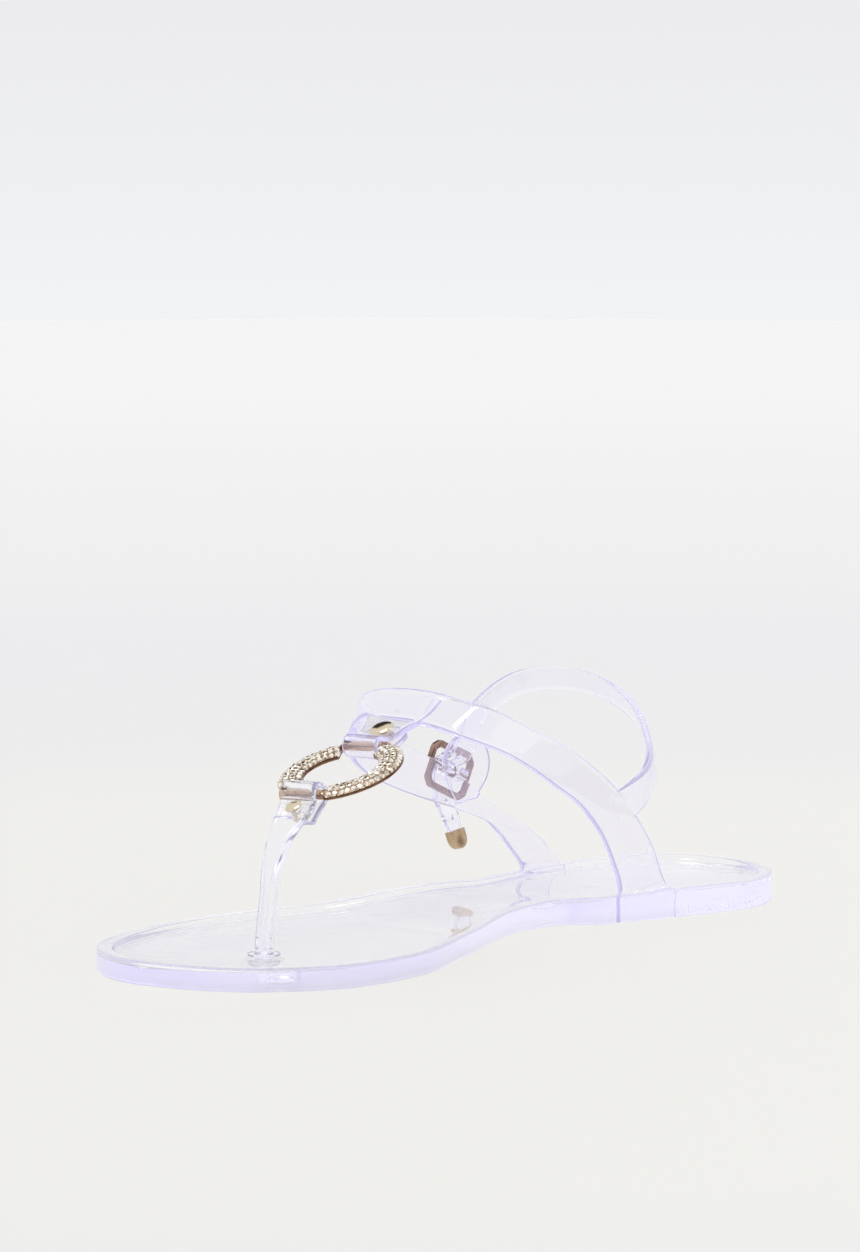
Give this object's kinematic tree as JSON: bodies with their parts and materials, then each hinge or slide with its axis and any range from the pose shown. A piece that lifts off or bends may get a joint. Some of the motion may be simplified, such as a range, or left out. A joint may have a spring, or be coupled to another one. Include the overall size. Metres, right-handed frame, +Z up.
{
  "type": "jelly sandal",
  "caption": "Clear moulded sandal for the right foot, with a vamp and tongue that hold a stone-set oval ring, a toe post and a buckled ankle strap.",
  "frame": {"origin": "on the floor, under the middle of the part's box", "axes": "+X points to the toe, +Y to the inner side of the foot and +Z up"},
  "size_m": [0.25, 0.087, 0.0695],
  "materials": {
    "clear_sole": "clear moulded PVC, glossy, with a pale lilac tint where it is thick",
    "clear_upper": "clear moulded PVC, glossy, nearly colourless",
    "clear_post": "clear moulded PVC, glossy, nearly colourless",
    "ring_metal": "polished rose gold plate",
    "tab_rivet_metal": "polished rose gold plate",
    "post_rivet_metal": "polished rose gold plate",
    "buckle_metal": "polished rose gold plate",
    "prong_metal": "polished rose gold plate",
    "tip_metal": "satin rose gold plate"
  },
  "bodies": {
    "root": {"sole": "clear_sole", "upper": "clear_upper", "toe_post": "clear_post", "ring_frame": "ring_metal", "tab_rivet": "tab_rivet_metal", "post_rivet": "post_rivet_metal", "buckle_frame": "buckle_metal", "buckle_prong": "prong_metal", "strap_tip": "tip_metal"}
  },
  "joints": []
}
